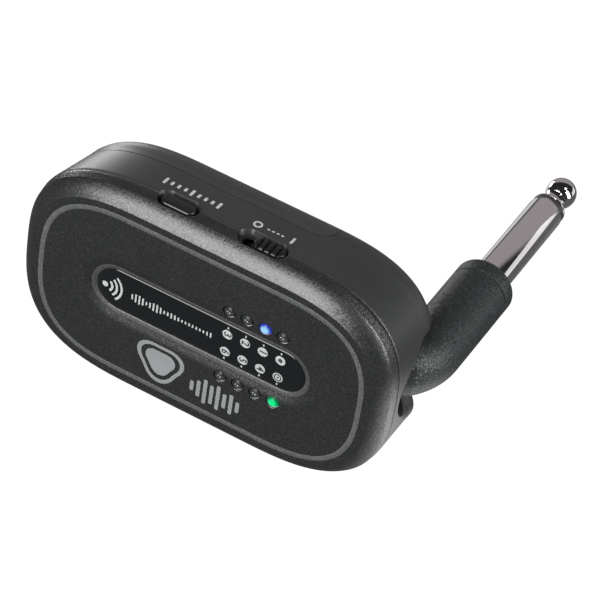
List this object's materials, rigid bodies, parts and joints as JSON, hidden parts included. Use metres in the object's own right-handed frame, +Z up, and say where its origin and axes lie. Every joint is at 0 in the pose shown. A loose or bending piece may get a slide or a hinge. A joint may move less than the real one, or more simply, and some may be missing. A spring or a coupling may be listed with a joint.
{
  "type": "wireless guitar transmitter",
  "caption": "Palm-sized wireless instrument transmitter: rounded case with a display window, status lights, push button, slide switch and a fold-over 6.35 mm plug on a bent arm.",
  "frame": {"origin": "centre of the bottom of the bounding box, with the plug unfolded", "axes": "+X along the case's long side towards the plug arm, +Y from the front face towards the tip of the plug, +Z up towards the push button and the slide switch"},
  "size_m": [0.0726, 0.0714, 0.0414],
  "materials": {
    "front_shell_plastic": "fine speckled matte",
    "mid_shell_plastic": "satin",
    "rear_cover_plastic": "satin",
    "window_gloss": "polished",
    "light_pipe_clear": "clear",
    "button_plastic": "satin",
    "slider_plastic": "satin",
    "board_laminate": "solder mask",
    "light_chip_resin": "moulded resin",
    "mode_switch_plastic": "moulded",
    "power_switch_plastic": "moulded",
    "charging_socket_steel": "plated",
    "battery_foil": "foil",
    "battery_pad_foam": "foam",
    "battery_lead_sleeve": "insulated wire",
    "radio_shield_steel": "plated",
    "antenna_copper": "copper",
    "arm_plastic": "fine speckled matte",
    "arm_cap_plastic": "fine speckled matte",
    "plug_sleeve_chrome": "polished",
    "plug_insulator_plastic": "moulded",
    "plug_tip_chrome": "polished",
    "arm_cable_sleeve": "insulated cable",
    "board_cable_sleeve": "insulated cable",
    "hinge_bushing_brass": "turned",
    "hinge_pin_steel": "turned",
    "friction_washer_nylon": "moulded",
    "screw_steel": "blackened"
  },
  "bodies": {
    "case": {"front_shell": "front_shell_plastic", "mid_shell": "mid_shell_plastic", "rear_cover": "rear_cover_plastic", "window_panel": "window_gloss", "main_board": "board_laminate", "mode_switch": "mode_switch_plastic", "power_switch": "power_switch_plastic", "charging_socket": "charging_socket_steel", "battery_cell": "battery_foil", "battery_pad": "battery_pad_foam", "battery_lead": "battery_lead_sleeve", "radio_shield": "radio_shield_steel", "antenna_strip": "antenna_copper", "board_cable": "board_cable_sleeve", "hinge_bushing": "hinge_bushing_brass", "hinge_pin": "hinge_pin_steel", "friction_washer": "friction_washer_nylon", "spring_washer": "hinge_pin_steel", "light_pipe_upper_1": "light_pipe_clear", "light_pipe_upper_2": "light_pipe_clear", "light_pipe_upper_3": "light_pipe_clear", "light_pipe_upper_4": "light_pipe_clear", "light_pipe_lower_1": "light_pipe_clear", "light_pipe_lower_2": "light_pipe_clear", "light_pipe_lower_3": "light_pipe_clear", "light_pipe_lower_4": "light_pipe_clear", "light_chip_upper_1": "light_chip_resin", "light_chip_upper_2": "light_chip_resin", "light_chip_upper_3": "light_chip_resin", "light_chip_upper_4": "light_chip_resin", "light_chip_lower_1": "light_chip_resin", "light_chip_lower_2": "light_chip_resin", "light_chip_lower_3": "light_chip_resin", "light_chip_lower_4": "light_chip_resin", "case_screw_1": "screw_steel", "case_screw_2": "screw_steel", "case_screw_3": "screw_steel", "case_screw_4": "screw_steel"},
    "arm": {"plug_arm": "arm_plastic", "arm_end_cap": "arm_cap_plastic", "plug_sleeve": "plug_sleeve_chrome", "plug_insulator": "plug_insulator_plastic", "plug_tip": "plug_tip_chrome", "arm_cable": "arm_cable_sleeve"},
    "button": {"mode_button": "button_plastic"},
    "slider": {"power_slider": "slider_plastic"}
  },
  "joints": [
    {"name": "arm_hinge", "type": "hinge", "parent": "case", "child": "arm", "pos_m": [0.0182, -0.02421, 0.02072], "axis": [0, 0, 1], "range_deg": [0, 90]},
    {"name": "mode_button_press", "type": "slide", "parent": "case", "child": "button", "axis": [0, 0, -1], "range_m": [0, 0.00035], "stiffness_N_per_m": 1500},
    {"name": "power_slide", "type": "slide", "parent": "case", "child": "slider", "axis": [-1, 0, 0], "range_m": [0, 0.0026]}
  ]
}
